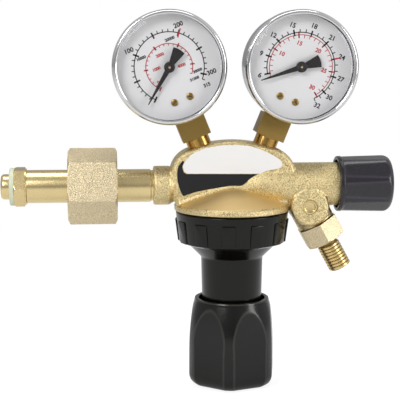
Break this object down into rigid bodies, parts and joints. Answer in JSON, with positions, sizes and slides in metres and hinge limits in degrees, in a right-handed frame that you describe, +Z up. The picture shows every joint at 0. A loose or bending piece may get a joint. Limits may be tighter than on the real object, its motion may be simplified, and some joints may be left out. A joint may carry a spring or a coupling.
{
  "type": "gas cylinder regulator",
  "caption": "Brass single-stage gas cylinder regulator with inlet union nut, two dial gauges, black adjusting knob and outlet shut-off valve.",
  "frame": {"origin": "centre of the inlet seal face, where the nipple meets the cylinder valve", "axes": "+X along the inlet axis from the cylinder valve to the outlet valve, -Y towards the front with the dials, +Z up"},
  "size_m": [0.2124, 0.063, 0.2047],
  "materials": {
    "cast_brass": "sand-blasted forging, satin",
    "forged_brass": "brushed and blasted flats",
    "turned_brass": "polished turning",
    "dark_brass": "bright drawn, darkened",
    "bronze": "matt bronze",
    "copper": "copper washer",
    "steel": "zinc plated",
    "plated_steel": "plated case",
    "bright_bezel": "bright rolled bezel",
    "clear_window": "clear plastic",
    "dial_white": "printed white dial",
    "pointer_black": "matt black",
    "black_coating": "semi-gloss black coating",
    "black_plastic": "satin black moulding",
    "seal_plastic": "pale seal plastic",
    "rubber": "black rubber"
  },
  "bodies": {
    "regulator": {"body": "cast_brass", "inlet_nipple": "turned_brass", "inlet_seal": "seal_plastic", "inlet_stem": "turned_brass", "inlet_filter": "bronze", "diaphragm": "rubber", "diaphragm_slip_ring": "steel", "seat_nozzle": "turned_brass", "poppet_spring": "steel", "bonnet": "black_coating", "main_spring": "steel", "valve_gland": "turned_brass", "valve_o_ring": "rubber", "outlet_connector": "forged_brass", "outlet_washer": "copper", "passage_plug": "turned_brass", "relief_cartridge": "turned_brass", "relief_cap": "turned_brass", "high_gauge_stem": "dark_brass", "high_gauge_case": "plated_steel", "high_gauge_bezel": "bright_bezel", "high_gauge_window": "clear_window", "high_gauge_dial": "dial_white", "high_gauge_dial_screws": "turned_brass", "high_gauge_link": "steel", "high_gauge_pressure_tube": "bronze", "high_gauge_movement_frame": "turned_brass", "low_gauge_stem": "dark_brass", "low_gauge_case": "plated_steel", "low_gauge_bezel": "bright_bezel", "low_gauge_window": "clear_window", "low_gauge_dial": "dial_white", "low_gauge_dial_screws": "turned_brass", "low_gauge_link": "steel", "low_gauge_pressure_tube": "bronze", "low_gauge_movement_frame": "turned_brass"},
    "nut_carrier": {"nut_thrust_ring": "steel"},
    "nut": {"union_nut": "forged_brass"},
    "adjuster_carrier": {"spring_button": "steel"},
    "adjuster": {"adjusting_spindle": "steel", "adjusting_knob": "black_plastic"},
    "poppet": {"valve_poppet": "turned_brass", "push_pin": "steel", "diaphragm_plate": "steel"},
    "valve_carrier": {"valve_seat_disc": "turned_brass"},
    "valve": {"valve_spindle": "steel", "valve_knob": "black_plastic"},
    "relief": {"relief_poppet": "steel", "relief_spring": "steel"},
    "high_pointer": {"high_gauge_pointer": "pointer_black", "high_gauge_arbor": "turned_brass"},
    "high_sector": {"high_gauge_sector": "turned_brass"},
    "low_pointer": {"low_gauge_pointer": "pointer_black", "low_gauge_arbor": "turned_brass"},
    "low_sector": {"low_gauge_sector": "turned_brass"}
  },
  "joints": [
    {"name": "nut_slide", "type": "slide", "parent": "regulator", "child": "nut_carrier", "axis": [1, 0, 0], "range_m": [-0.0407, 0.019]},
    {"name": "nut_turn", "type": "hinge", "parent": "nut_carrier", "child": "nut", "pos_m": [0.05, 0, 0], "axis": [1, 0, 0], "continuous": true},
    {"name": "adjuster_travel", "type": "slide", "parent": "regulator", "child": "adjuster_carrier", "axis": [0, 0, 1], "range_m": [0, 0.00875], "deforming": ["main_spring"]},
    {"name": "adjuster_turn", "type": "hinge", "parent": "adjuster_carrier", "child": "adjuster", "pos_m": [0.12, 0, -0.08], "axis": [0, 0, 1], "range_deg": [0, 1800]},
    {"name": "poppet_lift", "type": "slide", "parent": "regulator", "child": "poppet", "axis": [0, 0, 1], "range_m": [0, 0.0007], "stiffness_N_per_m": 400, "springref_m": -0.004, "deforming": ["poppet_spring", "diaphragm"]},
    {"name": "valve_travel", "type": "slide", "parent": "regulator", "child": "valve_carrier", "axis": [1, 0, 0], "range_m": [0, 0.00125]},
    {"name": "valve_turn", "type": "hinge", "parent": "valve_carrier", "child": "valve", "pos_m": [0.18, 0, 0], "axis": [1, 0, 0], "range_deg": [0, 450]},
    {"name": "relief_lift", "type": "slide", "parent": "regulator", "child": "relief", "axis": [0, 1, 0], "range_m": [0, 0.0008], "stiffness_N_per_m": 800, "springref_m": -0.002},
    {"name": "high_pointer_turn", "type": "hinge", "parent": "regulator", "child": "high_pointer", "pos_m": [0.0852, 0, 0.06413], "axis": [0, 1, 0], "range_deg": [0, 264], "stiffness_Nm_per_rad": 0.0006, "springref_deg": -5.73},
    {"name": "high_sector_turn", "type": "hinge", "parent": "regulator", "child": "high_sector", "pos_m": [0.08932, 0, 0.05394], "axis": [0, 1, 0], "range_deg": [-26.4, 0]},
    {"name": "low_pointer_turn", "type": "hinge", "parent": "regulator", "child": "low_pointer", "pos_m": [0.1548, 0, 0.06413], "axis": [0, 1, 0], "range_deg": [0, 264], "stiffness_Nm_per_rad": 0.0006, "springref_deg": -5.73},
    {"name": "low_sector_turn", "type": "hinge", "parent": "regulator", "child": "low_sector", "pos_m": [0.15068, 0, 0.05394], "axis": [0, 1, 0], "range_deg": [-26.4, 0]}
  ],
  "couplings": [
    {"joint": "adjuster_turn", "follows": "adjuster_travel", "rad_per_m": 3590.4},
    {"joint": "valve_turn", "follows": "valve_travel", "rad_per_m": 6283.2},
    {"joint": "high_sector_turn", "follows": "high_pointer_turn", "ratio": -0.1},
    {"joint": "low_sector_turn", "follows": "low_pointer_turn", "ratio": -0.1}
  ]
}
